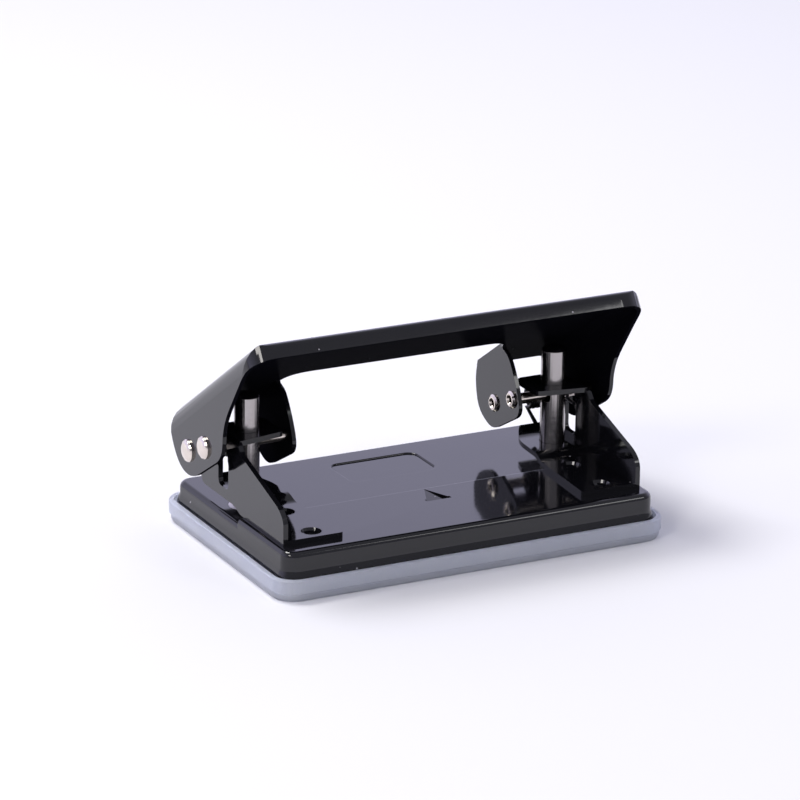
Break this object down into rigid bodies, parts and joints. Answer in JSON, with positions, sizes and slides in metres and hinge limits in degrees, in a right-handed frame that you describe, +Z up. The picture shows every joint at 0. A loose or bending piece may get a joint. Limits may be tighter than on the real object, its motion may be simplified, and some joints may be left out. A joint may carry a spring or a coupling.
{
  "type": "two-hole paper punch",
  "caption": "Desk paper punch: a black lacquered lever handle on riveted axles drives steel punches through sheet guides over a base with a translucent chip tray",
  "frame": {"origin": "middle of the chip tray's resting face, which is the bottom middle of the whole punch at rest", "axes": "+X right, +Z up, -Y towards the user, where the handle's free edge is; paper goes in from +Y"},
  "size_m": [0.104, 0.065, 0.0561],
  "materials": {
    "black_lacquer": "high-gloss black stove lacquer on pressed steel",
    "tray_plastic": "frosted natural polyethylene, bluish white and translucent",
    "tool_steel": "ground bright",
    "plated_rivet": "bright plated, slightly warm",
    "spring_steel": "oil-blackened wire"
  },
  "bodies": {
    "tray": {"chip_tray": "tray_plastic"},
    "frame": {"base_plate": "black_lacquer", "left_bracket": "black_lacquer", "left_front_stud": "black_lacquer", "left_rear_stud": "black_lacquer", "left_die": "tool_steel", "left_return_spring": "spring_steel", "right_bracket": "black_lacquer", "right_front_stud": "black_lacquer", "right_rear_stud": "black_lacquer", "right_die": "tool_steel", "right_return_spring": "spring_steel"},
    "lever": {"handle": "black_lacquer", "left_pivot_axle": "plated_rivet", "left_drive_axle": "plated_rivet", "right_pivot_axle": "plated_rivet", "right_drive_axle": "plated_rivet"},
    "left_pin": {"left_punch": "tool_steel"},
    "right_pin": {"right_punch": "tool_steel"}
  },
  "joints": [
    {"name": "tray_release", "type": "slide", "parent": "tray", "child": "frame", "axis": [0, 0, 1], "range_m": [0, 0.015]},
    {"name": "handle_hinge", "type": "hinge", "parent": "frame", "child": "lever", "pos_m": [0, 0.0154, 0.0216], "axis": [1, 0, 0], "range_deg": [0, 40], "stiffness_Nm_per_rad": 0.15, "springref_deg": -40.11, "deforming": ["left_return_spring", "right_return_spring"]},
    {"name": "left_punch_slide", "type": "slide", "parent": "frame", "child": "left_pin", "axis": [0, 0, -1], "range_m": [0, 0.00635]},
    {"name": "right_punch_slide", "type": "slide", "parent": "frame", "child": "right_pin", "axis": [0, 0, -1], "range_m": [0, 0.00635]}
  ],
  "couplings": [
    {"joint": "left_punch_slide", "follows": "handle_hinge", "m_per_rad": 0.0090911},
    {"joint": "right_punch_slide", "follows": "handle_hinge", "m_per_rad": 0.0090911}
  ]
}
